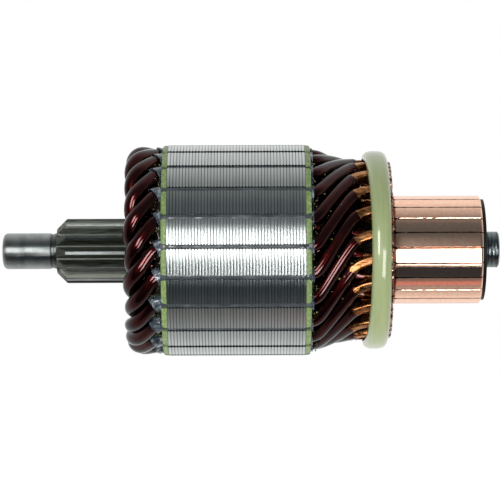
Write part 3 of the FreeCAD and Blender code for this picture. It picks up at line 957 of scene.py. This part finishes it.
def makeDrops():
    # single drops of varnish on both sides of the core, and further out between the leads
    draw = random.Random(11)
    parts = []
    for number in range(slots["count"]):
        for _ in range(resin["drops"]):
            pinionSide = draw.random() < resin["pinionShare"]
            x = draw.uniform(pinionFace - 2.4, pinionFace - 0.4)
            if not pinionSide:
                x = draw.uniform(commutatorFace + 0.4, commutatorFace + 1.8)
            angle = slots["firstAngle"] + (number + draw.uniform(0.25, 0.75)) * pitch
            spot = around(x, draw.uniform(*resin["dropRadius"]), angle)
            parts.append(lump(spot, draw.uniform(*resin["dropSize"]), draw, dropLevels, 10))
        for _ in range(resin["leadDrops"]):
            x = draw.uniform(commutatorFace + 1.5, bandStart - 1)
            share = (x - commutatorFace) / (bandStart - commutatorFace)
            radius = resin["dropRadius"][0] - 2.2 * share + draw.uniform(-0.5, 0.1)
            spot = around(x, radius, draw.uniform(0, 360))
            parts.append(lump(spot, draw.uniform(*resin["leadDropSize"]), draw, dropLevels, 10))
    return parts


makePiece("slot_mouth_resin", joined(makeStrips()), finishes["resin"], ["slot_resin"], 50)
collars = [makeCollar(pinionFace - 0.5, resin["collarReach"], 1), makeCollar(commutatorFace + 0.3, 0.6, 2)]
# the collars' near-black finish is painted shade between the conductors, over real varnish
makePiece("varnish_collars_painted_shade", joined(collars), finishes["pooledAndShade"], ["slot_resin"], 60)
makePiece("varnish_drops", joined(makeDrops()), finishes["drops"], ["slot_resin"], 60)
print("resin made")


# Banding ring

band = {
    "innerRadius": 25.35,
    "squareness": 2.6,
    "steps": 22,
    "aroundSteps": 176,
    "waviness": 0.05,
    # towards the front the ring starts and ends that much further along the shaft
    "frontStart": 1.6,
    "frontEnd": 0.4,
}


def makeBand():
    # a domed ring, lacquered over its turns, that stands on the conductor ends
    height = bandRadius - band["innerRadius"] - band["waviness"]
    power = 2 / band["squareness"]
    rings = []
    for step in range(band["aroundSteps"]):
        angle = 360 * step / band["aroundSteps"]
        front = max(0, cos(radians(angle)))
        low, high = bandStart + band["frontStart"] * front, bandEnd + band["frontEnd"] * front
        middle, half = (low + high) / 2, (high - low) / 2
        ring = []
        for k in range(band["steps"] + 1):
            turn = pi * k / band["steps"]
            x = middle - half * copysign(abs(cos(turn)) ** power, cos(turn))
            radius = band["innerRadius"] + height * sin(turn) ** power
            if 0 < k < band["steps"]:
                radius += band["waviness"] * wobble(around(x, radius, angle), 6.0, 4)
            ring.append(around(x, radius, angle))
        rings.append(ring)
    makePiece("banding", skin(rings, closed=True), finishes["band"], ["banding_ring"], 50)


makeBand()


# Commutator

def barProfile(top, sunk):
    # the bar's side outline, as (x, radius), from its foot up the riser and along the barrel
    c = commutator
    sink = c["brazeSink"] if sunk else 0
    riserTop, rounding = riserRadius - sink, c["riserRounding"]
    riserEnd = barStart + c["riserWidth"]
    face = riserEnd - sink  # the wire ends and the braze round them lie a little below the riser's face
    profile = [(barStart, c["footRadius"]), (barStart, riserTop - rounding)]
    profile += [(barStart + 0.3 * rounding, riserTop - 0.3 * rounding), (barStart + rounding, riserTop)]
    profile += [(face - rounding, riserTop), (face - 0.3 * rounding, riserTop - 0.3 * rounding)]
    profile += [(face, riserTop - rounding), (face, c["slotFoot"] + 0.1), (riserEnd, c["slotFoot"])]
    profile += [(riserEnd, top + 0.25), (riserEnd + 0.1, top + 0.06)]
    barrelStart, barrelEnd = riserEnd + 0.3, barEnd - c["endRounding"]
    for step in range(c["lengthSteps"]):
        profile.append((barrelStart + (barrelEnd - barrelStart) * step / c["lengthSteps"], top))
    for step in range(7):
        turn = radians(90 * step / 6)
        x = barEnd - c["endRounding"] * (1 - sin(turn))
        profile.append((x, top - c["endRounding"] * (1 - cos(turn))))
    profile.append((barEnd, c["footRadius"]))
    return profile


def makeBar(number):
    # a bar as lengthwise outlines set side by side: a broken edge, the face with its brazed slot, a broken edge
    c = commutator
    turn = slots["firstAngle"] + (number - 0.5) * pitch
    halfPitch = radians(pitch / 2)
    riserEnd = barStart + c["riserWidth"]
    lean = random.Random(number * 13).uniform(-c["lean"], c["lean"])  # each bar stands proud on one side
    face = [(-0.8, False), (-0.46, False), (-0.4, True), (0.0, True), (0.4, True), (0.46, False), (0.8, False)]
    columns = [(-1.0, -c["edgeBreak"], False), (-1.0, 0.0, False)]
    columns += [(share, 0.0, sunk) for share, sunk in face]
    columns += [(1.0, 0.0, False), (1.0, -c["edgeBreak"], False)]
    rings = []
    for share, drop, sunk in columns:
        ring = []
        for x, radius in barProfile(c["barrelRadius"] + drop, sunk):
            slitHalf = c["slitWidth"] / 2 + c["slitFlare"] * (1 - eased(x - riserEnd, 0.2, 1.8))
            across = share * (radius * tan(halfPitch) - slitHalf / cos(halfPitch))
            if abs(share) == 1.0:
                across += c["edgeWaviness"] * noise.noise(Vector((x / 1.3, number * 4.7, share * 2.1)))
                across -= copysign(c["edgeBreak"], share) if drop == 0.0 else 0
            lifted = radius + lean * across
            flat = lifted if radius <= c["footRadius"] else sqrt(lifted ** 2 - across ** 2)
            ring.append(turned(Vector((x, -flat, -across)), turn))
        rings.append(ring)

    def pick(centre):
        return 1 if centre.x < riserEnd + 0.02 else 0

    node = "commutator_bar_%02d" % number
    coppers = [finishes["barrel"], finishes["riser"]]
    makePiece(node + "_turned", skin(rings), coppers, [node], 30, pick)


for number in range(1, slots["count"] + 1):
    makeBar(number)
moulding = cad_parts["commutator_moulding"].data  # shown as it is in the frame
moulding.materials.clear()
moulding.materials.append(finishes["moulding"])
print("banding and commutator made")


# Floor, light and camera

studio = {
    "distance": 700.0,
    "seenWidth": 139.3,
    "middleX": 61.25,
    "floorHalf": 1400.0,
    "floorDrop": 82.0,
    "darkLean": 11.0,
    "roll": 0.22,
    "lift": 0.1,
}
boxes = {
    "soft_box_left": {
        "aside": -14, "below": -8, "distance": 620, "overX": 61,
        "width": 160, "height": 300, "power": 2.0, "colour": "#ffffff",
    },
    "soft_box_right": {
        "aside": 16, "below": 16, "distance": 620, "overX": 61,
        "width": 160, "height": 330, "power": 2.2, "colour": "#ffffff",
    },
    # a small warm lamp under the commutator, for the red line along the barrel
    "warm_strip": {
        "aside": 0, "below": 71, "distance": 88, "overX": 118,
        "width": 60, "height": 14, "power": 0.0019, "colour": "#bc2810",
    },
}


def makeFloor():
    floor = bpy.data.meshes.new("floor")
    half, level = studio["floorHalf"] * mm, -studio["floorDrop"] * mm
    corners = [(-half, -half), (half, -half), (half, half), (-half, half)]
    floor.from_pydata([(x, y, level) for x, y in corners], [], [(0, 1, 2, 3)])
    piece = addObject("floor", floor)
    # matt backdrop paper: white, with a glow of its own so that the part leaves no hard shadow
    glow = {"Roughness": 0.9, "Emission Color": [1, 1, 1, 1], "Emission Strength": 0.45}
    whites = [(0.3, "#fafaf9"), (0.7, "#fdfdfc")]
    floor.materials.append(grained("backdrop_paper", glow, (40.0,), whites, None, None))
    piece.visible_glossy = False


def makeWorld():
    # a white room that is dark on the camera's side, and darkest below the camera
    world = bpy.data.worlds.new("studio")
    scene.world = world
    world.use_nodes = True
    tree = world.node_tree
    tree.nodes.clear()
    direction = addNode(tree, "TexCoord").outputs["Generated"]
    height = addNode(tree, "SeparateXYZ", links={0: direction}).outputs[2]
    lean = radians(studio["darkLean"])
    towards = (0.0, -cos(lean), -sin(lean))
    facing = addNode(tree, "VectorMath", {"operation": "DOT_PRODUCT", 1: towards}, {0: direction})
    halved = {"operation": "MULTIPLY_ADD", 1: 0.5, 2: 0.5}
    share = addNode(tree, "Math", halved, {0: facing.outputs["Value"]}).outputs[0]
    above, below = (
        addNode(tree, "ValToRGB", {"stops": stops}, {0: share}).outputs[0]
        for stops in (
            [(0.18, 1.0), (0.4, 0.6), (0.55, 0.3), (0.7, "#636a6d"), (0.82, "#586063")],
            [(0.3, 1.0), (0.45, 0.75), (0.6, 0.42), (0.77, "#85827f"), (0.815, "#353d44")],
        )
    )
    upper = addNode(tree, "MapRange", {"From Min": -0.1, "From Max": 0.1}, {0: height}).outputs[0]
    shade = addNode(tree, "Mix", {"data_type": "RGBA"}, {0: upper, 6: below, 7: above}).outputs[2]
    room = addNode(tree, "Background", links={"Color": shade})
    white = addNode(tree, "Background", {"Color": [1, 1, 1, 1]})
    seen = addNode(tree, "LightPath").outputs["Is Camera Ray"]
    mixed = addNode(tree, "MixShader", links={0: seen, 1: room.outputs[0], 2: white.outputs[0]})
    addNode(tree, "OutputWorld", links={"Surface": mixed.outputs[0]})


def makeLight(name, box):
    # a soft box that looks at the shaft, turned aside and lowered by its angles
    lamp = bpy.data.lights.new(name, "AREA")
    lamp.shape = "RECTANGLE"
    lamp.size, lamp.size_y = box["width"] * mm, box["height"] * mm
    lamp.energy = box["power"]
    lamp.color = linear(box["colour"])[:3]
    light = addObject(name, lamp)
    a, b = radians(box["aside"]), radians(box["below"])
    away = Vector((sin(a) * cos(b), -cos(a) * cos(b), -sin(b)))
    light.location = Vector((box["overX"] * mm, 0, 0)) + away * box["distance"] * mm
    light.rotation_mode = "QUATERNION"
    light.rotation_quaternion = away.to_track_quat("Z", "Y")
    light.visible_camera = False


def makeCamera():
    lens = bpy.data.cameras.new("camera")
    lens.sensor_width = 36.0
    lens.lens = lens.sensor_width * studio["distance"] / studio["seenWidth"]
    lens.clip_start, lens.clip_end = 0.01, 20
    camera = addObject("camera", lens)
    camera.location = (studio["middleX"] * mm, -studio["distance"] * mm, studio["lift"] * mm)
    camera.rotation_euler = (radians(90), radians(studio["roll"]), 0)
    bpy.context.scene.camera = camera


makeFloor()
makeWorld()
for name, box in boxes.items():
    makeLight(name, box)
makeCamera()
scene.view_settings.view_transform = "Standard"
print("studio made")
